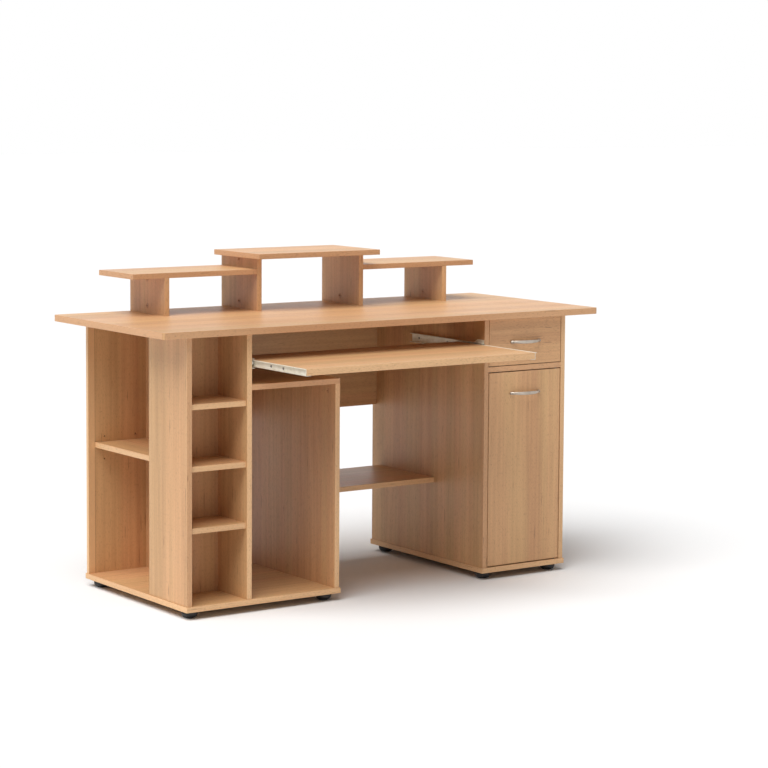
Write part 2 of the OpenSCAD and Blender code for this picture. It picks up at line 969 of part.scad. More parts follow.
module drawer_back() {
    color(beech)
        difference() {
            translate([
                x_drawer + drawer_board,
                y_drawer + drawer_depth - drawer_board,
                z_drawer
            ]) cube([drawer_box_width - 2 * drawer_board, drawer_board, drawer_box_height]);
            drawer_bottom_panel();
        }
}

module drawer_bottom() {
    color(beech) drawer_bottom_panel();
}

module drawer_runner_left() {
    color(steel_cream)
        translate([x_drawer, y_drawer, z_drawer]) runner(drawer_runner_length, drawer_screws);
}

module drawer_runner_right() {
    color(steel_cream)
        translate([x_drawer + drawer_box_width, y_drawer, z_drawer])
            mirror([1, 0, 0]) runner(drawer_runner_length, drawer_screws);
}

module drawer_runner_rollers() {
    color(white_plastic) {
        translate([x_drawer, y_drawer, z_drawer]) runner_roller(drawer_runner_length);
        translate([x_drawer + drawer_box_width, y_drawer, z_drawer])
            mirror([1, 0, 0]) runner_roller(drawer_runner_length);
    }
}

module drawer_runner_screws() {
    color(steel) {
        translate([x_drawer, y_drawer, z_drawer])
            runner_screw_row(drawer_runner_length, drawer_screws);
        translate([x_drawer + drawer_box_width, y_drawer, z_drawer])
            mirror([1, 0, 0]) runner_screw_row(drawer_runner_length, drawer_screws);
    }
}

module drawer_handle() {
    color(steel) translate([handle_x, y_front, drawer_handle_z]) bow_handle();
}

module drawer_handle_screws() {
    color(steel) translate([handle_x, y_front, drawer_handle_z]) handle_bolts();
}

// ---------------------------------------------------------------- door

module door_panel() {
    color(beech)
        difference() {
            translate([x_cabinet + door_gap, y_front, z_base + door_gap])
                cube([door_width, board, door_height]);
            translate([handle_x, y_front, door_handle_z]) handle_holes();
            for (z = [z_base + door_gap - overlap, z_rail - door_gap - pivot_in_door - overlap])
                translate([x_pivot, y_pivot, z])
                    cylinder(h = pivot_in_door + 2 * overlap, r = pivot_radius + running_clearance);
        }
}

module door_handle() {
    color(steel) translate([handle_x, y_front, door_handle_z]) bow_handle();
}

module door_handle_screws() {
    color(steel) translate([handle_x, y_front, door_handle_z]) handle_bolts();
}

module catch_strike() {
    color(steel)
        translate([x_cabinet + catch_from_edge, y_drawer, z_rail - catch_height])
            cube([catch_width, catch_plate, catch_height - door_gap - overlap]);
}

desktop();
left_outer_panel();
divider_panel();
pc_side_panel();
pc_roof_board();
left_base_board();
left_back_board();
cd_rack_back();
cd_shelf_upper();
cd_shelf_middle();
cd_shelf_lower();
bookcase_shelf();
modesty_panel();
low_shelf();
right_inner_panel();
right_outer_panel();
right_base_board();
right_back_board();
drawer_rail_board();
cupboard_shelf();
riser_centre_board();
riser_left_shelf();
riser_right_shelf();
riser_upright_left_outer();
riser_upright_left_inner();
riser_upright_right_inner();
riser_upright_right_outer();
feet();
foot_screws();
shelf_pins();
cam_fittings();
tray_rail_left();
tray_rail_right();
tray_rail_rollers();
drawer_rail_left();
drawer_rail_right();
drawer_rail_rollers();
rail_screws();
door_pivots();
magnetic_catch();
keyboard_tray();
tray_runner_left();
tray_runner_right();
tray_runner_rollers();
tray_runner_screws();
drawer_front();
drawer_side_left();
drawer_side_right();
drawer_back();
drawer_bottom();
drawer_runner_left();
drawer_runner_right();
drawer_runner_rollers();
drawer_runner_screws();
drawer_handle();
drawer_handle_screws();
door_panel();
door_handle();
door_handle_screws();
catch_strike();
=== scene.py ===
import json
import math
import random

import bmesh
import bpy
from bpy.props import FloatProperty, FloatVectorProperty, IntProperty, PointerProperty
from mathutils import Matrix, Vector

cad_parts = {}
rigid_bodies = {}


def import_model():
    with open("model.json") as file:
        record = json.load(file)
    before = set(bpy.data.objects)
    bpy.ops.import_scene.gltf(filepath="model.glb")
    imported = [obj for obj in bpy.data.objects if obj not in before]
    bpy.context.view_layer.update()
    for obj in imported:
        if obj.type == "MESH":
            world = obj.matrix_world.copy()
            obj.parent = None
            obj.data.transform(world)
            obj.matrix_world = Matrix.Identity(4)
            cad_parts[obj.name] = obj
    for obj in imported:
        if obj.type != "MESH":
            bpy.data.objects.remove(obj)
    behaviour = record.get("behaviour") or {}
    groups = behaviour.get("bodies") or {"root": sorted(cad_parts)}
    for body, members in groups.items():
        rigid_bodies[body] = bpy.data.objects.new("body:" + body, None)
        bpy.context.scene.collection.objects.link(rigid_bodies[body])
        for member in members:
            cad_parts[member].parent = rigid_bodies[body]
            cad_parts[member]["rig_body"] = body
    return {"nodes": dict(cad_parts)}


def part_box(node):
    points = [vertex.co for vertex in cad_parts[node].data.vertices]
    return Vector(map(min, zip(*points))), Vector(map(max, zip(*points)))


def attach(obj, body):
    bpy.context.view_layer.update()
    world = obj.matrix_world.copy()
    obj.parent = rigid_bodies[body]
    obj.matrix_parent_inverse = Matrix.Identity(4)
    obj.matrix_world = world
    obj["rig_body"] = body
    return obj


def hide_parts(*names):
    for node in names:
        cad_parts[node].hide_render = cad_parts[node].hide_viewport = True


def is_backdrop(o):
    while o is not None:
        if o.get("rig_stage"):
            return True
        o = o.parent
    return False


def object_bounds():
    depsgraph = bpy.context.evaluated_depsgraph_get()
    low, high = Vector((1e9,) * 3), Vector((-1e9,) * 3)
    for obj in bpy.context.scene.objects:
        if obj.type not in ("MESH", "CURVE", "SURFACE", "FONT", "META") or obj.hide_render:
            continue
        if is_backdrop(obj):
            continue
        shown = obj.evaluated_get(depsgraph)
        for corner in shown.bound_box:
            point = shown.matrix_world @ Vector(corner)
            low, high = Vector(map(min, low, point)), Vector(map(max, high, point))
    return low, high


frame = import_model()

bl_info = {
    "name": "Computer desk finish",
    "version": (1, 0, 0),
    "blender": (4, 5, 0),
    "location": "3D View > Sidebar > Desk",
    "description": "Finishes the boards, runners and fittings of a computer desk and lights it",
    "category": "Object",
}

CAD_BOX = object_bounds()
SEED = 7                # for the turn of each screw
WELD = 0.000001         # points of a fitting closer than this become one
CORNER_WELD = 0.000002  # corners of a board closer than this become one
LAP = 0.01              # how far turned parts reach into each other, as a share of the part

# Folded steel rails and runners, in metres
BEND_STEPS = 4          # faces round each fold
SHEET_BEND = 0.0007     # radius of a fold, at the sheet's middle
RAIL_HEIGHT = 0.026     # a fixed rail without its ear
FLANGE = 0.010          # how far a fixed rail's flanges stand out
TRACK = 0.0072          # how far a runner's track stands out
BEAD = 0.0005           # depth of the beads pressed along a runner
BEAD_HALF = 0.0018      # half a bead's width at its foot
BEAD_CREST = 0.0008     # half a bead's width at its crest
EAR_RISE = 0.009        # the raised front end of a fixed rail
EAR_LENGTH = 0.05
EAR_FLAT = 0.6          # share of the ear's length before it slopes down
EAR_ROOT = 0.002        # how far the ear reaches down into the rail
PUNCH_START = 0.05      # first punched hole, as a share of the rail's length
DRILL_LENGTH = 0.006    # goes right through the sheet

# Glide feet
FOOT_COLLAR = 0.38      # ribbed collar's share of the foot's height
FOOT_BOWL = 0.72        # depth of the bowl's ball, as a share of the foot's height
FOOT_RIB = 0.0006       # half a rib's depth

# Bow handles
POST_OFFSET = 0.048     # from the bow's middle to each post
POST_RADIUS = 0.0045

ALONG_X = (
    "desktop", "keyboard_tray", "riser_centre_board", "riser_left_shelf", "riser_right_shelf",
    "low_shelf", "modesty_panel", "drawer_rail_board", "drawer_front", "drawer_back",
    "cupboard_shelf", "cd_shelf_upper", "cd_shelf_middle", "cd_shelf_lower",
    "left_base_board", "right_base_board",
)
ALONG_Y = ("bookcase_shelf", "pc_roof_board", "drawer_side_left", "drawer_side_right", "drawer_bottom")
ALONG_Z = (
    "left_outer_panel", "divider_panel", "pc_side_panel", "left_back_board", "cd_rack_back",
    "right_inner_panel", "right_outer_panel", "right_back_board", "door_panel",
    "riser_upright_left_outer", "riser_upright_left_inner", "riser_upright_right_inner",
    "riser_upright_right_outer",
)
RUNNERS = {
    # steel strip: (board it is screwed to, board across the gap, whether it is a fixed rail)
    "tray_rail_left": ("divider_panel", "keyboard_tray", True),
    "tray_rail_right": ("right_inner_panel", "keyboard_tray", True),
    "tray_runner_left": ("keyboard_tray", "divider_panel", False),
    "tray_runner_right": ("keyboard_tray", "right_inner_panel", False),
    "drawer_rail_left": ("right_inner_panel", "drawer_side_left", True),
    "drawer_rail_right": ("right_outer_panel", "drawer_side_right", True),
    "drawer_runner_left": ("drawer_side_left", "right_inner_panel", False),
    "drawer_runner_right": ("drawer_side_right", "right_outer_panel", False),
}
# Screw nodes and the axis each lies along
SCREWS = {"rail_screws": 0, "tray_runner_screws": 0, "drawer_runner_screws": 0, "foot_screws": 2,
          "drawer_handle_screws": 1, "door_handle_screws": 1}
ROLLERS = ("tray_rail_rollers", "tray_runner_rollers", "drawer_rail_rollers",
           "drawer_runner_rollers")
BEHIND_OTHERS = "left_back_board"  # its edges all lie against other boards
RED_EDGED = ("desktop", "pc_roof_board", "left_outer_panel", "right_inner_panel",
             "drawer_rail_board", "riser_left_shelf", "riser_right_shelf", "riser_centre_board")


def linear(red, green, blue):
    """A screen colour, 0 to 255, as the light it stands for."""
    levels = (c / 255 for c in (red, green, blue))
    return tuple(c / 12.92 if c <= 0.04045 else ((c + 0.055) / 1.055) ** 2.4 for c in levels)


def opaque(colour):
    return (*colour, 1.0)


# ---------------------------------------------------------------- node trees

class Value:
    """A number that comes out of a node. Arithmetic on it adds Math nodes to the same tree."""

    def __init__(self, graph, socket):
        self.graph = graph
        self.socket = socket

    def __add__(self, other):
        return self.graph.maths("ADD", self, other)

    __radd__ = __add__

    def __sub__(self, other):
        return self.graph.maths("SUBTRACT", self, other)

    def __rsub__(self, other):
        return self.graph.maths("SUBTRACT", other, self)

    def __mul__(self, other):
        return self.graph.maths("MULTIPLY", self, other)

    __rmul__ = __mul__

    def __lt__(self, other):
        return self.graph.maths("LESS_THAN", self, other)


class Graph:
    """A node tree under construction."""

    def __init__(self, tree):
        self.tree = tree

    def node(self, kind, settings=None, feeds=None):
        """Adds one node: its settings first, then the values or links of its sockets."""
        made = self.tree.nodes.new(kind)
        for name, setting in (settings or {}).items():
            if name == "stops":
                first, last = made.color_ramp.elements
                (first.position, first.color), (last.position, last.color) = setting
            else:
                setattr(made, name, setting)
        for name, feed in (feeds or {}).items():
            if isinstance(feed, Value):
                feed = feed.socket
            if isinstance(feed, bpy.types.NodeSocket):
                self.tree.links.new(feed, made.inputs[name])
            else:
                made.inputs[name].default_value = feed
        return made

    def maths(self, operation, *values):
        made = self.node("ShaderNodeMath", {"operation": operation}, dict(enumerate(values)))
        return Value(self, made.outputs[0])

    def ramp(self, value, low, high):
        """0 below low, 1 above high, smooth between; low may be the larger one."""
        made = self.node("ShaderNodeMapRange", {"interpolation_type": "SMOOTHSTEP"},
                         {"Value": value, "From Min": low, "From Max": high})
        return Value(self, made.outputs[0])

    def vector(self, x, y, z):
        return self.node("ShaderNodeCombineXYZ", None, {"X": x, "Y": y, "Z": z}).outputs[0]

    def noise(self, vector, detail=2.0, roughness=0.5, scale=1.0):
        made = self.node("ShaderNodeTexNoise", {"noise_dimensions": "3D"},
                         {"Vector": vector, "Scale": scale, "Detail": detail,
                          "Roughness": roughness})
        return Value(self, made.outputs[0])

    def blend(self, factor, first, second):
        """A colour between two colours."""
        made = self.node("ShaderNodeMix", {"data_type": "RGBA"}, {0: factor, 6: first, 7: second})
        return made.outputs[2]

    def place(self):
        """Object coordinates as three Values, and as a vector."""
        vector = self.node("ShaderNodeTexCoord").outputs["Object"]
        parts = self.node("ShaderNodeSeparateXYZ", None, {0: vector}).outputs
        return [Value(self, part) for part in parts], vector

    def bump(self, height, distance, strength=1.0):
        return self.node("ShaderNodeBump", None,
                         {"Height": height, "Distance": distance, "Strength": strength}).outputs[0]


def surface(name, **sockets):
    """A material with one Principled shader. Sockets are given by name with _ for a space;
    a function there gets the Graph and returns what feeds the socket."""
    material = bpy.data.materials.new(name)
    material.use_nodes = True
    tree = material.node_tree
    tree.nodes.clear()
    graph = Graph(tree)
    feeds = {}
    for socket, feed in sockets.items():
        feeds[socket.replace("_", " ")] = feed(graph) if callable(feed) else feed
    shader = graph.node("ShaderNodeBsdfPrincipled", None, feeds)
    graph.node("ShaderNodeOutputMaterial", None, {"Surface": shader.outputs[0]})
    return material


# ---------------------------------------------------------------- materials

def beech_board(name, grain, look, painted_light_width=0.0):
    """Printed beech laminate on one board: grain along one axis, bands round the edges.
    The last argument gives the width of painted light: a lighter strip down the board's left side, with
    a dark line along its inner edge."""
    low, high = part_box(name)
    sides = high - low
    through = min(range(3), key=lambda axis: sides[axis])
    across = 3 - grain - through
    own = random.Random(name)

    material = bpy.data.materials.new("beech_" + name)
    material.use_nodes = True
    material.node_tree.nodes.clear()
    graph = Graph(material.node_tree)
    place, _ = graph.place()

    end = graph.maths("MINIMUM", place[grain] - low[grain], high[grain] - place[grain])
    side = graph.maths("MINIMUM", place[across] - low[across], high[across] - place[across])
    edge = graph.maths("MINIMUM", end, side)
    on_end = end < look.band
    banded = edge < look.band
    seam = graph.ramp(graph.maths("ABSOLUTE", edge - look.band), 0.0003, 0.0)

    # On a board's ends the print of the band runs along the end instead
    swap = (place[across] - place[grain]) * on_end
    run = place[grain] + swap + own.uniform(0, 30)
    cross = place[across] - swap + own.uniform(0, 30)
    depth = place[through] + own.uniform(0, 30)

    def print_noise(along, sideways, detail):
        return graph.noise(graph.vector(run * along, cross * sideways, depth * sideways), detail)

    broad = print_noise(0.5, 15, 1.0)
    warm = print_noise(0.5, 17, 1.0)
    streak = print_noise(2.6, 120, 3.0)
    fibre = print_noise(16, 430, 3.0)
    fleck = graph.ramp(print_noise(110, 1100, 1.0), 0.60, 0.70)
    knot = graph.ramp(print_noise(13, 150, 1.0), 0.70, 0.78)
    bend = print_noise(1.3, 5, 1.0)
    figure = graph.maths("SINE", cross * 210 + bend * 30) * 0.5 + 0.5

    shade = (graph.ramp(broad, 0.34, 0.66) * 0.44 + graph.ramp(streak, 0.3, 0.7) * 0.34
             + figure * 0.12 + fibre * 0.24 - 0.10)
    face = graph.blend(shade * look.contrast, opaque(look.face), opaque(look.figure))
    tint = graph.blend(graph.ramp(warm, 0.40, 0.60), opaque(look.straw), opaque(look.warm))
    face = graph.blend(look.tint, face, tint)
    edge_colour = look.red_edge if name in RED_EDGED else look.edge
    banding = graph.blend(shade * 0.4, opaque(edge_colour), opaque(look.figure))
    colour = graph.blend(banded, face, banding)
    colour = graph.blend(fleck * look.fleck, colour, opaque(look.dark))
    colour = graph.blend(knot * look.knots, colour, opaque(look.dark))
    colour = graph.blend(seam * 0.45, colour, opaque(look.dark))
    # Painted light: a strip down the board's left side painted lighter, ending in a dark line along its
    # inner edge
    if painted_light_width:
        inside = place[across] - low[across] - painted_light_width
        colour = graph.blend((inside < 0.0) * 0.6, colour, opaque(look.edge))
        strip_edge_line = graph.ramp(graph.maths("ABSOLUTE", inside), 0.0006, 0.0002)
        colour = graph.blend(strip_edge_line * 0.8, colour, opaque(look.dark))

    smudge = graph.noise(graph.vector(*(axis * 7 for axis in place)), 3.0)
    roughness = streak * 0.10 + smudge * 0.16 + (look.roughness - 0.13)
    height = fibre * 0.5 - fleck * 0.6 - seam
    shader = graph.node("ShaderNodeBsdfPrincipled", None, {
        "Base Color": colour,
        "Roughness": roughness,
        "Specular IOR Level": look.gloss,
        "Normal": graph.bump(height, 0.00012),
    })
    graph.node("ShaderNodeOutputMaterial", None, {"Surface": shader.outputs[0]})
    return material


def speckled(colour, other, size):
    """A socket feed: a colour that wanders to another one in patches of about that size."""
    def feed(graph):
        _, place = graph.place()
        patches = graph.noise(place, 3.0, 0.6, 1 / size)
        return graph.blend(graph.ramp(patches, 0.35, 0.7), opaque(colour), opaque(other))
    return feed


def uneven(middle, spread, size):
    """A socket feed: a number that varies about a middle in patches of about that size."""
    def feed(graph):
        _, place = graph.place()
        return graph.noise(place, 3.0, 0.6, 1 / size) * (2 * spread) + (middle - spread)
    return feed


def grained(size, height):
    """A socket feed: a skin of small bumps."""
    def feed(graph):
        _, place = graph.place()
        return graph.bump(graph.noise(place, 2.0, 0.5, 1 / size), height)
    return feed


def brushed(height):
    """A socket feed: fine brush lines along X."""
    def feed(graph):
        place, _ = graph.place()
        lines = graph.noise(graph.vector(place[0] * 60, place[1] * 4000, place[2] * 4000), 2.0)
        return graph.bump(lines, height)
    return feed


def coated_steel(look):
    return surface("cream_coated_steel",
                   Base_Color=speckled(look.coat, look.coat_worn, 0.02),
                   Roughness=uneven(0.38, 0.08, 0.01),
                   Normal=grained(0.0012, 0.00003))


def satin_nickel(look):
    return surface("satin_nickel",
                   Base_Color=speckled(look.nickel, look.nickel_dull, 0.03),
                   Metallic=1.0,
                   Roughness=uneven(0.30, 0.05, 0.008),
                   Normal=brushed(0.000012))


def zinc_plate(look):
    return surface("zinc_plate",
                   Base_Color=speckled(look.zinc, look.zinc_dull, 0.003),
                   Metallic=1.0,
                   Roughness=uneven(0.36, 0.10, 0.002),
                   Normal=grained(0.0008, 0.00001))


def moulded_plastic(name, colour, other, roughness):
    return surface(name,
                   Base_Color=speckled(colour, other, 0.01),
                   Roughness=uneven(roughness, 0.06, 0.005),
                   Normal=grained(0.0007, 0.00003))


def paint(node, material):
    """Gives a CAD node's every material slot one material."""
    for slot in frame["nodes"][node].material_slots:
        slot.material = material


def ease_edges(node, width, segments=2, flat_faces=False):
    """Rounds the sharp edges of a CAD node's solids with modifiers, its mesh left alone.
    flat_faces first makes each flat side one face."""
    piece = frame["nodes"][node]
    weld = piece.modifiers.new("join corners", "WELD")
    weld.merge_threshold = CORNER_WELD
    if flat_faces:
        flat = piece.modifiers.new("join flat faces", "DECIMATE")
        flat.decimate_type = "DISSOLVE"
        flat.angle_limit = math.radians(1)
    bevel = piece.modifiers.new("ease edges", "BEVEL")
    bevel.width = width
    bevel.segments = segments
    bevel.limit_method = "ANGLE"
    bevel.angle_limit = math.radians(40)
    bevel.use_clamp_overlap = False
    even = piece.modifiers.new("even shading", "WEIGHTED_NORMAL")
    even.weight = 100


# ---------------------------------------------------------------- meshes

def solids(node):
    """The separate solids of a CAD node, each a list of its corner points, in the mesh's order,
    so that every run gives each fitting the same turn."""
    mesh = bmesh.new()
    mesh.from_mesh(frame["nodes"][node].data)
    bmesh.ops.remove_doubles(mesh, verts=mesh.verts, dist=CORNER_WELD)
    reached = set()
    found = []
    for start in mesh.verts:
        if start in reached:
            continue
        reached.add(start)
        waiting = [start]
        points = []
        while waiting:
            vertex = waiting.pop()
            points.append(vertex.co.copy())
            for edge in vertex.link_edges:
                other = edge.other_vert(vertex)
                if other not in reached:
                    reached.add(other)
                    waiting.append(other)
        found.append(points)
    mesh.free()
    return found


def box_of(points):
    """Lowest and highest corner of some points."""
    return (Vector([min(p[axis] for p in points) for axis in range(3)]),
            Vector([max(p[axis] for p in points) for axis in range(3)]))


def headed(points, axis):
    """For a screw along an axis: the middle of its head's outer face, and the way that faces."""
    low, high = box_of(points)
    middle = (low + high) / 2
    sideways = [other for other in range(3) if other != axis]

    def reach(point):
        return math.hypot(*(point[other] - middle[other] for other in sideways))

    head_radius = max(reach(p) for p in points)
    head = [p[axis] for p in points if reach(p) > 0.9 * head_radius]
    outward = 1 if sum(head) / len(head) > middle[axis] else -1
    spot = middle.copy()
    spot[axis] = high[axis] if outward > 0 else low[axis]
    facing = Vector((0, 0, 0))
    facing[axis] = outward
    return spot, facing


def mesh_piece(name, build, material, smooth=False):
    """A new object at the origin from a function that fills a bmesh."""
    mesh = bmesh.new()
    build(mesh)
    data = bpy.data.meshes.new(name)
    mesh.to_mesh(data)
    mesh.free()
    for polygon in data.polygons:
        polygon.use_smooth = smooth
    data.materials.append(material)
    piece = bpy.data.objects.new(name, data)
    bpy.context.scene.collection.objects.link(piece)
    return piece


def settle(piece, name, body, slot, *nodes):
    """Makes a piece's modifiers real, names it, hangs it on the body and hides the nodes it stands in
    for.
    """
    bpy.context.view_layer.update()
    graph = bpy.context.evaluated_depsgraph_get()
    data = bpy.data.meshes.new_from_object(piece.evaluated_get(graph))
    made = bpy.data.objects.new(name, data)
    data.name = name
    bpy.context.scene.collection.objects.link(made)
    bpy.data.objects.remove(piece)
    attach(made, body)
    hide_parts(*nodes)
    return made


def sweep(mesh, sections, closed_ends=True):
    """Skins a row of rings, each a list of points in the same order, into one closed tube."""
    rings = [[mesh.verts.new(point) for point in section] for section in sections]
    count = len(rings[0])
    for first, second in zip(rings, rings[1:]):
        for i in range(count):
            j = (i + 1) % count
            mesh.faces.new((first[i], first[j], second[j], second[i]))
    if closed_ends:
        mesh.faces.new(rings[0])
        mesh.faces.new(list(reversed(rings[-1])))
    bmesh.ops.recalc_face_normals(mesh, faces=mesh.faces)


def lathe(mesh, profile, start, axis, steps=24):
    """A turned solid along an axis: profile is (distance along, radius) from start."""
    ways = [Vector([float(i == way) for i in range(3)]) for way in range(3)]
    forward = ways.pop(axis)
    one, two = ways
    part = bmesh.new()
    sections = []
    for along, radius in profile:
        centre = Vector(start) + forward * along
        sections.append([
            centre + one * (radius * math.cos(turn)) + two * (radius * math.sin(turn))
            for turn in (2 * math.pi * step / steps for step in range(steps))
        ])
    sweep(part, sections)
    joined = bpy.data.meshes.new("turned part")
    part.to_mesh(joined)
    part.free()
    mesh.from_mesh(joined)
    bpy.data.meshes.remove(joined)


def bent_outline(corners, thickness, bend):
    """The outline of sheet metal folded along corners, which are points (out, up) of its middle
    line. Each fold is round, with bend as the middle line's radius."""
    def side(offset):
        points = []
        for i, corner in enumerate(corners):
            here = Vector(corner)
            before = (here - Vector(corners[i - 1])).normalized() if i else None
            after = (Vector(corners[i + 1]) - here).normalized() if i + 1 < len(corners) else None
            if before is None or after is None:
                way = after or before
                points.append(here + Vector((-way.y, way.x)) * offset)
                continue
            turn = math.atan2(before.cross(after), before.dot(after))
            side_way = math.copysign(1, turn)
            left = Vector((-before.y, before.x))
            centre = here - before * (bend * math.tan(abs(turn) / 2)) + left * (bend * side_way)
            for step in range(BEND_STEPS + 1):
                turned = Matrix.Rotation(turn * step / BEND_STEPS, 2) @ (left * -side_way)
                points.append(centre + turned * (bend - offset * side_way))
        return points
    return side(thickness / 2) + list(reversed(side(-thickness / 2)))


# ---------------------------------------------------------------- repeated fittings

class Recipe(Graph):
    """A Geometry Nodes tree with named inputs that turns spots into finished fittings."""

    def __init__(self, name, **sizes):
        super().__init__(bpy.data.node_groups.new(name, "GeometryNodeTree"))
        interface = self.tree.interface
        interface.new_socket("Geometry", in_out="INPUT", socket_type="NodeSocketGeometry")
        interface.new_socket("Material", in_out="INPUT", socket_type="NodeSocketMaterial")
        interface.new_socket("Geometry", in_out="OUTPUT", socket_type="NodeSocketGeometry")
        for label, default in sizes.items():
            kind = "NodeSocketInt" if isinstance(default, int) else "NodeSocketFloat"
            made = interface.new_socket(label.replace("_", " "), in_out="INPUT", socket_type=kind)
            made.default_value = default
        self.given = self.tree.nodes.new("NodeGroupInput").outputs

    def size(self, label):
        return Value(self, self.given[label])

    def cylinder(self, radius, depth, z=0.0, sides=24):
        """A cylinder that stands from z to z + depth."""
        made = self.node("GeometryNodeMeshCylinder", {"fill_type": "NGON"},
                         {"Vertices": sides, "Radius": radius, "Depth": depth}).outputs["Mesh"]
        return self.moved(made, self.vector(0.0, 0.0, depth * 0.5 + z))

    def cone(self, low_radius, high_radius, depth, z=0.0, sides=24):
        made = self.node("GeometryNodeMeshCone", {"fill_type": "NGON"},
                         {"Vertices": sides, "Radius Bottom": low_radius,
                          "Radius Top": high_radius, "Depth": depth}).outputs["Mesh"]
        return self.moved(made, self.vector(0.0, 0.0, z))

    def block(self, x, y, z, middle=(0.0, 0.0, 0.0)):
        made = self.node("GeometryNodeMeshCube", None, {"Size": self.vector(x, y, z)})
        return self.moved(made.outputs["Mesh"], self.vector(*middle))

    def moved(self, mesh, offset):
        return self.node("GeometryNodeTransform", None,
                         {"Geometry": mesh, "Translation": offset}).outputs[0]

    def joined(self, *meshes):
        made = self.node("GeometryNodeJoinGeometry")
        for mesh in meshes:
            self.tree.links.new(mesh, made.inputs[0])
        return made.outputs[0]

    def fused(self, *meshes):
        """Several closed bodies made into one closed body."""
        made = self.node("GeometryNodeMeshBoolean", {"operation": "UNION", "solver": "EXACT"})
        for mesh in meshes:
            self.tree.links.new(mesh, made.inputs["Mesh 2"])
        return made.outputs["Mesh"]

    def cut(self, mesh, *cutters):
        made = self.node("GeometryNodeMeshBoolean",
                         {"operation": "DIFFERENCE", "solver": "EXACT"}, {"Mesh 1": mesh})
        for cutter in cutters:
            self.tree.links.new(cutter, made.inputs["Mesh 2"])
        return made.outputs["Mesh"]

    def finish(self, fitting, turn=True):
        """One fitting on every spot, facing the spot's way and turned by a seeded chance."""
        fitting = self.node("GeometryNodeMergeByDistance", None,
                            {"Geometry": fitting, "Distance": WELD}).outputs[0]
        facing = self.node("GeometryNodeInputNamedAttribute", {"data_type": "FLOAT_VECTOR"},
                           {"Name": "facing"}).outputs[0]
        aligned = self.node("FunctionNodeAlignRotationToVector", {"axis": "Z"},
                            {"Vector": facing}).outputs[0]
        placed = self.node("GeometryNodeInstanceOnPoints", None,
                           {"Points": self.given["Geometry"], "Instance": fitting,
                            "Rotation": aligned}).outputs[0]
        if turn:
            chance = self.node("FunctionNodeRandomValue", {"data_type": "FLOAT"},
                               {"Max": math.tau, "Seed": SEED})
            angle = next(o for o in chance.outputs if o.enabled)
            placed = self.node("GeometryNodeRotateInstances", None,
                               {"Instances": placed,
                                "Rotation": self.vector(0.0, 0.0, angle)}).outputs[0]
        self.output(placed)

    def output(self, geometry):
        real = self.node("GeometryNodeRealizeInstances", None, {"Geometry": geometry}).outputs[0]
        coloured = self.node("GeometryNodeSetMaterial", None,
                             {"Geometry": real, "Material": self.given["Material"]}).outputs[0]
        self.node("NodeGroupOutput", None, {"Geometry": coloured})

    def apply(self, piece, material, **sizes):
        """Puts the recipe on a piece, its inputs set by their sockets' identifiers."""
        sockets = {item.name: item.identifier for item in self.tree.interface.items_tree
                   if item.in_out == "INPUT"}
        modifier = piece.modifiers.new(self.tree.name, "NODES")
        modifier.node_group = self.tree
        modifier[sockets["Material"]] = material
        for label, value in sizes.items():
            modifier[sockets[label.replace("_", " ")]] = value


def spots_piece(name, spots, material):
    """A mesh of loose points, each with the way its fitting faces."""
    piece = mesh_piece(name, lambda mesh: [mesh.verts.new(spot) for spot, _ in spots], material)
    facing = piece.data.attributes.new("facing", "FLOAT_VECTOR", "POINT")
    for item, (_, way) in zip(facing.data, spots):
        item.vector = way
    return piece


def pan_screw_recipe():
    """A pan-head screw with a cross recess, its head's top at z = 0."""
    recipe = Recipe("pan_screws", Head_Radius=0.0035, Head_Height=0.0014, Shank_Radius=0.0015,
                    Length=0.0104, Recess_Width=0.0009)
    radius, height = recipe.size("Head Radius"), recipe.size("Head Height")
    shank, length = recipe.size("Shank Radius"), recipe.size("Length")
    width = recipe.size("Recess Width")
    crown = recipe.cone(radius, radius * 0.62, height * 0.55, height * -0.55)
    rim = recipe.cylinder(radius, height * (0.45 + LAP), -1 * height)
    slots = (
        recipe.block(width, radius * 1.15, height * 1.2),
        recipe.block(radius * 1.15, width, height * 1.2),
    )
    body = recipe.cylinder(shank, length - height * (1 - LAP), -1 * length, 12)
    recipe.finish(recipe.cut(recipe.fused(crown, rim, body), *slots))
    return recipe


def cam_cap_recipe():
    """A round cover cap with a raised rim and a slot, its outer face at z = 0."""
    recipe = Recipe("cam_caps", Radius=0.0073, Depth=0.004, Slot_Length=0.009, Slot_Width=0.0035)
    radius, depth = recipe.size("Radius"), recipe.size("Depth")
    slot = recipe.block(recipe.size("Slot Width"), recipe.size("Slot Length"), depth * 1.4)
    disc = recipe.cylinder(radius, depth * (0.9 + LAP), -1 * depth, 40)
    rim = recipe.cone(radius, radius * 0.94, depth * 0.1, depth * -0.1, 40)
    recipe.finish(recipe.cut(recipe.fused(disc, rim), slot), turn=False)
    return recipe


def roller_recipe():
    """A plastic roller on its axle's hole, along z from 0."""
    recipe = Recipe("rollers", Radius=0.0055, Width=0.005, Bore=0.0021)
    radius, width, bore = (recipe.size(label) for label in ("Radius", "Width", "Bore"))
    ease = 0.0005  # bevel at each end of the tread
    tread = recipe.cylinder(radius, width - 2 * ease * (1 - LAP), ease * (1 - LAP), 40)
    near = recipe.cone(radius - ease, radius, ease, 0.0, 40)
    far = recipe.cone(radius, radius - ease, ease, width - ease, 40)
    hole = recipe.cylinder(bore, width * 2, width * -0.5)
    ring = recipe.cut(recipe.cylinder(radius * 0.78, width, width * 0.85, 32),
                      recipe.cylinder(radius * 0.55, width * 2, 0.0, 32))
    recipe.finish(recipe.cut(recipe.fused(tread, near, far), hole, ring), turn=False)
    return recipe


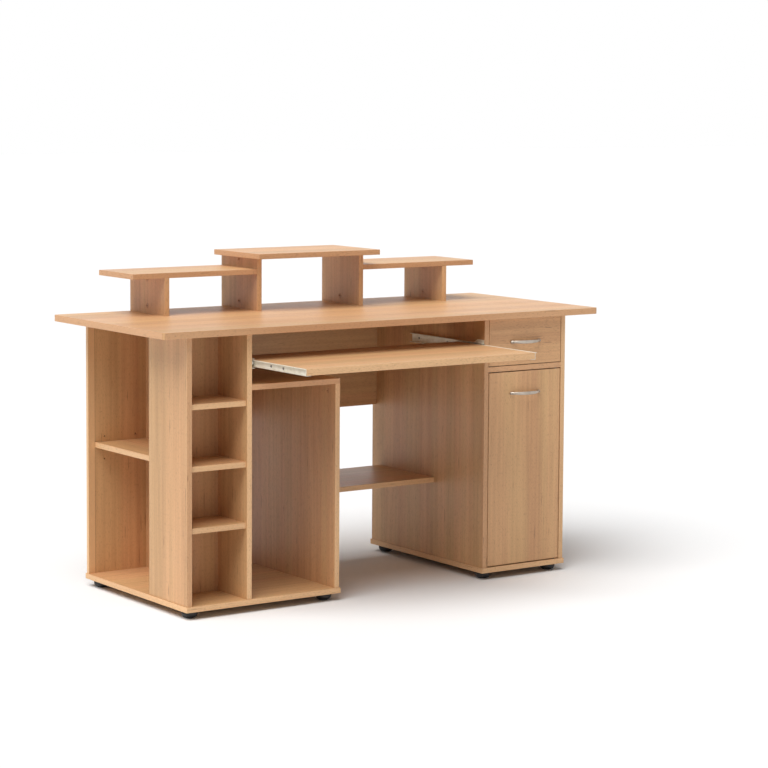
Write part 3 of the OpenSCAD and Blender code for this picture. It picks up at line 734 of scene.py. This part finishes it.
def glide_foot_recipe():
    """A glide foot under z = 0: a ribbed collar, and under it a bowl with a flat sole."""
    recipe = Recipe("glide_feet", Radius=0.022, Height=0.021, Well_Radius=0.0042, Ribs=32)
    radius, height, ribs = (recipe.size(label) for label in ("Radius", "Height", "Ribs"))
    collar = height * FOOT_COLLAR
    shaft = radius - FOOT_RIB
    rim = recipe.cylinder(radius, collar * 0.25, collar * -0.25, 48)
    neck = recipe.cylinder(shaft, collar * 0.75, -1 * collar, 48)
    ball = recipe.node("GeometryNodeMeshUVSphere", None,
                       {"Segments": 48, "Rings": 32, "Radius": 1.0}).outputs[0]
    ball = recipe.node("GeometryNodeTransform", None, {
        "Geometry": ball,
        "Scale": recipe.vector(radius, radius, height * FOOT_BOWL),
        "Translation": recipe.vector(0.0, 0.0, -1 * collar),
    }).outputs[0]
    above = recipe.block(radius * 2.2, radius * 2.2, height, (0.0, 0.0, height * 0.5 - collar))
    below = recipe.block(radius * 2.2, radius * 2.2, height, (0.0, 0.0, height * -1.5))
    well = recipe.cylinder(recipe.size("Well Radius"), height * 0.4, height * -1.1)
    bowl = recipe.cut(ball, above, below, well)
    ring = recipe.node("GeometryNodeMeshCircle", None,
                       {"Vertices": ribs, "Radius": shaft}).outputs[0]
    rib = recipe.block(FOOT_RIB * 2, FOOT_RIB * 1.4, collar * 0.7)
    outward = recipe.node("GeometryNodeInputPosition").outputs[0]
    aligned = recipe.node("FunctionNodeAlignRotationToVector", {"axis": "X"},
                          {"Vector": outward}).outputs[0]
    row = recipe.node("GeometryNodeInstanceOnPoints", None,
                      {"Points": ring, "Instance": rib, "Rotation": aligned}).outputs[0]
    row = recipe.moved(row, recipe.vector(0.0, 0.0, collar * -0.62))
    recipe.finish(recipe.joined(rim, neck, bowl, row), turn=False)
    return recipe


def punched_recipe():
    """Punches a row of round holes along Y through a steel strip."""
    recipe = Recipe("punched_strip", Start=0.0, Pitch=0.032, Count=8, Radius=0.0014,
                    Across=0.0, Height=0.0)
    row = recipe.node("GeometryNodeMeshLine", {"mode": "OFFSET", "count_mode": "TOTAL"},
                      {"Count": recipe.given["Count"],
                       "Start Location": recipe.vector(recipe.size("Across"),
                                                       recipe.size("Start"),
                                                       recipe.size("Height")),
                       "Offset": recipe.vector(0.0, recipe.size("Pitch"), 0.0)}).outputs[0]
    drill = recipe.node("GeometryNodeMeshCylinder", {"fill_type": "NGON"},
                        {"Vertices": 16, "Radius": recipe.size("Radius"),
                         "Depth": DRILL_LENGTH}).outputs["Mesh"]
    drill = recipe.node("GeometryNodeTransform", None,
                        {"Geometry": drill, "Rotation": (0.0, math.pi / 2, 0.0)}).outputs[0]
    drills = recipe.node("GeometryNodeInstanceOnPoints", None,
                         {"Points": row, "Instance": drill}).outputs[0]
    drills = recipe.node("GeometryNodeRealizeInstances", None, {"Geometry": drills}).outputs[0]
    recipe.output(recipe.cut(recipe.given["Geometry"], drills))
    return recipe


# ---------------------------------------------------------------- settings

def colour_setting(name, description, default):
    return FloatVectorProperty(name=name, description=description, subtype="COLOR", min=0, max=1,
                               default=default)


def share_setting(name, description, default):
    return FloatProperty(name=name, description=description, subtype="FACTOR", min=0, max=1,
                         default=default)


def length_setting(name, description, low, high, default):
    return FloatProperty(name=name, description=description, subtype="DISTANCE", unit="LENGTH",
                         min=low, max=high, default=default)


def angle_setting(name, description, degrees):
    return FloatProperty(name=name, description=description, subtype="ANGLE", unit="ROTATION",
                         default=math.radians(degrees))


class DeskBoardSettings(bpy.types.PropertyGroup):
    face: colour_setting("Face", "Light tone of the laminate", (0.745, 0.445, 0.212))
    figure: colour_setting("Figure", "Darker tone of the laminate's print", (0.44, 0.225, 0.10))
    warm: colour_setting("Warm stripe", "Reddish tone of the print", (0.66, 0.335, 0.175))
    straw: colour_setting("Straw stripe", "Yellowish tone of the print", (0.60, 0.38, 0.18))
    edge: colour_setting("Edge band", "Tone of the edge bands", (0.82, 0.505, 0.26))
    dark: colour_setting("Fleck", "Tone of flecks, seams and joints", linear(112, 70, 42))
    red_edge: colour_setting("Red edge band", "Tone of the redder bands", (0.69, 0.385, 0.195))
    tint: share_setting("Stripe strength", "How strongly the stripes show", 0.3)
    contrast: share_setting("Figure strength", "How strongly the print shows", 0.9)
    fleck: share_setting("Fleck strength", "How strongly the flecks show", 0.45)
    knots: share_setting("Knot strength", "How strongly the small knots show", 0.4)
    band: length_setting("Band thickness", "Thickness of the edge bands", 0.0004, 0.002, 0.0008)
    ease: length_setting("Edge rounding", "Radius of the boards' edges", 0.0002, 0.002, 0.0006)
    roughness: share_setting("Roughness", "How matt the laminate is", 0.42)
    gloss: share_setting("Gloss", "Strength of the laminate's reflection", 0.45)
    # Painted light: width of the lighter strip painted down the left side of the bookcase back
    painted_light_width: length_setting("Painted light strip", "Width of the bookcase back's side strip", 0, 0.05, 0.021)


class DeskFittingSettings(bpy.types.PropertyGroup):
    coat: colour_setting("Coat", "Colour of the coated runners", linear(240, 233, 216))
    coat_worn: colour_setting("Worn coat", "Runner coat where it is rubbed", linear(226, 217, 196))
    nickel: colour_setting("Nickel", "Colour of the handles", linear(188, 178, 166))
    nickel_dull: colour_setting("Dull nickel", "Handles where they are dull", linear(166, 155, 142))
    zinc: colour_setting("Zinc", "Colour of screws and pins", linear(158, 154, 148))
    zinc_dull: colour_setting("Dull zinc", "Screws where they are dull", linear(112, 108, 102))
    foot: colour_setting("Feet", "Colour of the glide feet", linear(38, 37, 38))
    roller: colour_setting("Rollers", "Colour of rollers and catch", linear(238, 231, 216))
    cap: colour_setting("Cam caps", "Colour of the caps over the cams", linear(196, 148, 108))
    sheet: length_setting("Sheet", "Thickness of the runners' steel", 0.0008, 0.002, 0.0012)
    screw_head: length_setting("Screw head", "Height of a pan head", 0.001, 0.003, 0.0014)
    punched: IntProperty(name="Punched holes", description="Holes along a fixed rail", min=2, max=40,
                         default=12)
    foot_ribs: IntProperty(name="Foot ribs", description="Ribs round a foot", min=8, max=60, default=32)


class DeskHandleSettings(bpy.types.PropertyGroup):
    middle: length_setting("Middle height", "Height of the bow at its middle", 0.004, 0.01, 0.01)
    tip: length_setting("Tip height", "Height of the bow at its tips", 0.002, 0.01, 0.006)
    thickness: length_setting("Thickness", "Thickness of the bow", 0.003, 0.007, 0.005)


class DeskStageSettings(bpy.types.PropertyGroup):
    floor: colour_setting("Floor", "Colour of the floor", linear(240, 240, 240))
    sky: FloatProperty(name="Room light", description="Strength of the even light", min=0, max=3,
                       default=0.22)
    key: FloatProperty(name="Key light", description="Strength of the soft light from the left", min=0,
                       max=20, default=3.45)
    camera: FloatVectorProperty(name="Camera", description="Where the camera stands",
                                subtype="TRANSLATION", unit="LENGTH", default=(-3.8916, -5.7085, 1.4033))
    heading: angle_setting("Heading", "Camera's turn from straight ahead", -35.069)
    pitch: angle_setting("Pitch", "Camera's look up", -5.217)
    roll: angle_setting("Roll", "Camera's lean", -0.373)
    lens: FloatProperty(name="Lens", description="Focal length in millimetres", min=10, max=400,
                        default=115.25)
    shift: FloatVectorProperty(name="Lens shift", description="Framing, in picture widths", size=2,
                               default=(-0.0052, -0.0919))


# ---------------------------------------------------------------- operators

class DESK_OT_boards(bpy.types.Operator):
    """Prints beech laminate on every board and eases its edges"""
    bl_idname = "desk.boards"
    bl_label = "Boards"

    def execute(self, context):
        look = context.scene.desk_boards
        for grain, names in enumerate((ALONG_X, ALONG_Y, ALONG_Z)):
            for name in names:
                # Only the bookcase back gets the strip of painted light
                painted_light_width = look.painted_light_width if name == "left_back_board" else 0.0
                paint(name, beech_board(name, grain, look, painted_light_width))
                if name != BEHIND_OTHERS:
                    ease_edges(name, look.ease, flat_faces=True)
        return {"FINISHED"}


class DESK_OT_runners(bpy.types.Operator):
    """Folds the eight rails and runners from steel sheet, the fixed ones punched"""
    bl_idname = "desk.runners"
    bl_label = "Runners"

    def execute(self, context):
        look = context.scene.desk_fittings
        steel = coated_steel(look)
        punch = punched_recipe()
        for name, (carrier, opposite, fixed) in RUNNERS.items():
            low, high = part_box(name)
            carrier_low, carrier_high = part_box(carrier)
            opposite_low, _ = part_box(opposite)
            outward = 1 if opposite_low.x > carrier_low.x else -1
            face = carrier_high.x if outward > 0 else carrier_low.x
            if fixed:
                high.z = low.z + RAIL_HEIGHT
            half = look.sheet / 2
            bottom, top = low.z + half, high.z - half
            reach = FLANGE if fixed else TRACK
            if fixed:
                corners = [(reach, bottom), (half, bottom), (half, top), (reach, top)]
            else:
                under = face - low.x if outward > 0 else high.x - face
                beads = [
                    (half + out, bottom + share * (top - bottom) + up)
                    for share in (0.22, 0.78)
                    for out, up in ((0, -BEAD_HALF), (BEAD, -BEAD_CREST), (BEAD, BEAD_CREST),
                                    (0, BEAD_HALF))
                ]
                corners = [(-under, bottom), (half, bottom), *beads, (half, top), (reach, top)]
            outline = bent_outline(corners, look.sheet, SHEET_BEND)

            def spot(out, y, up):
                return (face + outward * out, y, up)

            def fold(mesh):
                sweep(mesh, [[spot(out, y, up) for out, up in outline] for y in (low.y, high.y)])

            def ear(mesh):
                side = ((0, -EAR_ROOT), (0, EAR_RISE), (EAR_LENGTH * EAR_FLAT, EAR_RISE),
                        (EAR_LENGTH, -EAR_ROOT))
                sweep(mesh, [[spot(out, low.y + along, high.z + rise) for along, rise in side]
                             for out in (0, look.sheet)])

            strip = mesh_piece(name + "_strip", fold, steel)
            if fixed:
                length = high.y - low.y
                punch.apply(strip, steel, Start=low.y + PUNCH_START * length,
                            Pitch=(1 - 2 * PUNCH_START) * length / (look.punched - 1),
                            Count=look.punched, Across=face + outward * half,
                            Height=(low.z + high.z) / 2)
                lug = mesh_piece(name + "_ear", ear, steel)
                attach(lug, "desk")
            body = frame["nodes"][name]["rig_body"]
            settle(strip, name + "_steel", body, "coated_steel", name)
        return {"FINISHED"}


class DESK_OT_rollers(bpy.types.Operator):
    """Turns the plastic rollers of the runners"""
    bl_idname = "desk.rollers"
    bl_label = "Rollers"

    def execute(self, context):
        look = context.scene.desk_fittings
        plastic = moulded_plastic("white_plastic", look.roller, linear(222, 221, 214), 0.42)
        recipe = roller_recipe()
        for name in ROLLERS:
            spots = []
            for points in solids(name):
                low, high = box_of(points)
                middle = (low + high) / 2
                spots.append((Vector((low.x, middle.y, middle.z)), Vector((1, 0, 0))))
            piece = spots_piece(name + "_spots", spots, plastic)
            recipe.apply(piece, plastic, Radius=(high.z - low.z) / 2, Width=high.x - low.x)
            settle(piece, name + "_turned", frame["nodes"][name]["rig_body"], "white_plastic", name)
        return {"FINISHED"}


class DESK_OT_screws(bpy.types.Operator):
    """Puts cross-headed screws where the frame has its screws"""
    bl_idname = "desk.screws"
    bl_label = "Screws"

    def execute(self, context):
        look = context.scene.desk_fittings
        zinc = zinc_plate(look)
        recipe = pan_screw_recipe()
        for name, axis in SCREWS.items():
            shapes = solids(name)
            spots = [headed(points, axis) for points in shapes]
            low, high = box_of(shapes[0])
            sideways = (axis + 1) % 3
            head_radius = (high[sideways] - low[sideways]) / 2
            piece = spots_piece(name + "_spots", spots, zinc)
            recipe.apply(piece, zinc, Head_Radius=head_radius, Head_Height=look.screw_head,
                         Length=high[axis] - low[axis], Shank_Radius=head_radius * 0.43,
                         Recess_Width=head_radius * 0.26)
            settle(piece, name + "_zinc", frame["nodes"][name]["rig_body"], "zinc_plated", name)
        for name in ("shelf_pins", "door_pivots", "catch_strike"):
            paint(name, zinc)
            ease_edges(name, 0.0004)
        return {"FINISHED"}


class DESK_OT_caps(bpy.types.Operator):
    """Covers the cam fittings with beech-coloured caps"""
    bl_idname = "desk.caps"
    bl_label = "Cam caps"

    def execute(self, context):
        look = context.scene.desk_fittings
        plastic = moulded_plastic("beech_plastic", look.cap, linear(184, 136, 98), 0.5)
        spots = []
        for points in solids("cam_fittings"):
            low, high = box_of(points)
            middle = (low + high) / 2
            spots.append((Vector((low.x, middle.y, middle.z)), Vector((-1, 0, 0))))
        piece = spots_piece("cam_spots", spots, plastic)
        cam_cap_recipe().apply(piece, plastic, Radius=(high.z - low.z) / 2 - 0.0002)
        settle(piece, "cam_caps", "desk", "zinc_plated", "cam_fittings")
        return {"FINISHED"}


class DESK_OT_feet(bpy.types.Operator):
    """Moulds the eight glide feet"""
    bl_idname = "desk.feet"
    bl_label = "Feet"

    def execute(self, context):
        look = context.scene.desk_fittings
        plastic = moulded_plastic("black_plastic", look.foot, linear(48, 47, 48), 0.5)
        spots = []
        for points in solids("feet"):
            low, high = box_of(points)
            middle = (low + high) / 2
            spots.append((Vector((middle.x, middle.y, high.z)), Vector((0, 0, 1))))
        piece = spots_piece("feet_spots", spots, plastic)
        glide_foot_recipe().apply(piece, plastic, Radius=(high.x - low.x) / 2,
                                  Height=high.z - low.z, Ribs=look.foot_ribs)
        settle(piece, "glide_feet", "desk", "black_plastic", "feet")
        return {"FINISHED"}


class DESK_OT_handles(bpy.types.Operator):
    """Shapes the two bow handles, full in the middle and slim at the tips"""
    bl_idname = "desk.handles"
    bl_label = "Handles"

    def execute(self, context):
        look = context.scene.desk_handles
        nickel = satin_nickel(context.scene.desk_fittings)
        for name, front in (("drawer_handle", "drawer_front"), ("door_handle", "door_panel")):
            low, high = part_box(name)
            board_low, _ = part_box(front)
            middle = (low + high) / 2
            half = (high.x - low.x) / 2
            reach = board_low.y - low.y
            bow = (half ** 2 + reach ** 2) / (2 * reach)
            centre_y = board_low.y + bow - reach
            line = bow - look.thickness / 2
            swing = math.acos((bow - reach) / line)
            steps, round_steps = 48, 20

            def loft(mesh):
                sections = []
                for step in range(steps + 1):
                    share = 2 * step / steps - 1
                    angle = swing * share
                    fullness = math.cos(share * math.pi / 2) ** 0.8
                    tall = (look.tip + (look.middle - look.tip) * fullness) / 2
                    thick = look.thickness / 2 * (0.75 + 0.25 * fullness)
                    ring = []
                    for k in range(round_steps):
                        turn = math.tau * k / round_steps
                        out = line + thick * math.cos(turn)
                        y = min(centre_y - out * math.cos(angle), board_low.y)
                        ring.append((middle.x + out * math.sin(angle), y,
                                     middle.z + tall * math.sin(turn)))
                    sections.append(ring)
                sweep(mesh, sections)
                for side in (-1, 1):
                    spot = (middle.x + side * POST_OFFSET, board_low.y, middle.z)
                    depth = math.sqrt(line ** 2 - POST_OFFSET ** 2) - (bow - reach)
                    lathe(mesh, [(0, POST_RADIUS), (-depth, POST_RADIUS)], spot, 1)

            piece = mesh_piece(name + "_loft", loft, nickel, smooth=True)
            body = frame["nodes"][name]["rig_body"]
            settle(piece, name + "_bow", body, "satin_nickel", name)
        return {"FINISHED"}


class DESK_OT_catch(bpy.types.Operator):
    """Builds the cupboard's magnetic catch"""
    bl_idname = "desk.catch"
    bl_label = "Catch"

    def execute(self, context):
        look = context.scene.desk_fittings
        plastic = moulded_plastic("catch_plastic", look.roller, linear(222, 221, 214), 0.45)
        low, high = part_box("magnetic_catch")
        sides = high - low

        def mould(mesh):
            inset = sides.z * 0.3
            body = bmesh.ops.create_cube(mesh, size=1.0)["verts"]
            for vertex in body:
                for axis in range(3):
                    vertex.co[axis] = low[axis] + (vertex.co[axis] + 0.5) * sides[axis]
            front = min(mesh.faces, key=lambda face: face.calc_center_median().y)
            bmesh.ops.inset_individual(mesh, faces=[front], thickness=inset * 0.5)
            bmesh.ops.translate(mesh, verts=front.verts, vec=(0, sides.y * 0.12, 0))
            edges = [edge for edge in mesh.edges if edge.calc_face_angle(0) > 0.5]
            bmesh.ops.bevel(mesh, geom=edges, offset=0.0006, segments=2, affect="EDGES")
            bmesh.ops.recalc_face_normals(mesh, faces=mesh.faces)

        piece = mesh_piece("catch_mould", mould, plastic)
        settle(piece, "catch_housing", "desk", "white_plastic", "magnetic_catch")
        return {"FINISHED"}


class DESK_OT_stage(bpy.types.Operator):
    """Lays the floor, lights it softly from the upper left and stands the camera"""
    bl_idname = "desk.stage"
    bl_label = "Stage"

    def execute(self, context):
        look = context.scene.desk_stage
        scene = context.scene
        pale = surface("pale_floor", Base_Color=opaque(look.floor), Roughness=0.9,
                       Specular_IOR_Level=0.1)

        def lay(mesh):
            bmesh.ops.create_grid(mesh, x_segments=1, y_segments=1, size=40)

        mesh_piece("floor", lay, pale)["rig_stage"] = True

        world = bpy.data.worlds.new("studio")
        world.use_nodes = True
        world.node_tree.nodes.clear()
        graph = Graph(world.node_tree)
        seen = graph.node("ShaderNodeLightPath").outputs
        direct = graph.maths("MAXIMUM", seen["Is Camera Ray"], seen["Is Glossy Ray"])
        strength = direct * (1 - look.sky) + look.sky
        room = graph.node("ShaderNodeBackground", None,
                          {"Color": (1, 1, 1, 1), "Strength": strength})
        graph.node("ShaderNodeOutputWorld", None, {"Surface": room.outputs[0]})
        scene.world = world

        sun = bpy.data.lights.new("key", "SUN")
        sun.energy = look.key
        sun.angle = math.radians(50)
        key = bpy.data.objects.new("key", sun)
        key.rotation_euler = Vector((-0.50, -0.20, 1.0)).to_track_quat("Z", "Y").to_euler()
        scene.collection.objects.link(key)

        lens = bpy.data.cameras.new("camera")
        lens.lens = look.lens
        lens.shift_x, lens.shift_y = look.shift
        lens.clip_end = 200
        camera = bpy.data.objects.new("camera", lens)
        camera.matrix_world = (
            Matrix.Translation(look.camera)
            @ Matrix.Rotation(look.heading, 4, "Z")
            @ Matrix.Rotation(look.pitch, 4, "X")
            @ Matrix.Rotation(look.roll, 4, "Y")
            @ Matrix.Rotation(math.radians(90), 4, "X")
        )
        scene.collection.objects.link(camera)
        scene.camera = camera
        scene.view_settings.view_transform = "Standard"
        return {"FINISHED"}


class DESK_PT_panel(bpy.types.Panel):
    """Desk finish"""
    bl_label = "Desk"
    bl_idname = "DESK_PT_panel"
    bl_space_type = "VIEW_3D"
    bl_region_type = "UI"
    bl_category = "Desk"

    def draw(self, context):
        for group in SETTINGS:
            settings = getattr(context.scene, group)
            column = self.layout.column(align=True)
            for label in settings.__annotations__:
                column.prop(settings, label)
        for operator in OPERATORS:
            self.layout.operator(operator.bl_idname)


SETTINGS = {
    "desk_boards": DeskBoardSettings,
    "desk_fittings": DeskFittingSettings,
    "desk_handles": DeskHandleSettings,
    "desk_stage": DeskStageSettings,
}
OPERATORS = (DESK_OT_boards, DESK_OT_runners, DESK_OT_rollers, DESK_OT_screws, DESK_OT_caps,
             DESK_OT_feet, DESK_OT_handles, DESK_OT_catch, DESK_OT_stage)
CLASSES = (*SETTINGS.values(), *OPERATORS, DESK_PT_panel)


def register():
    for kind in CLASSES:
        bpy.utils.register_class(kind)
    for group, kind in SETTINGS.items():
        setattr(bpy.types.Scene, group, PointerProperty(type=kind))


def unregister():
    for group in SETTINGS:
        delattr(bpy.types.Scene, group)
    for kind in reversed(CLASSES):
        bpy.utils.unregister_class(kind)


def main():
    register()
    for operator in OPERATORS:
        group, name = operator.bl_idname.split(".")
        getattr(getattr(bpy.ops, group), name)()
    boxes = {"cad": CAD_BOX, "visual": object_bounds()}
    {label: [list(corner) for corner in box] for label, box in boxes.items()}


if __name__ == "__main__":
    main()
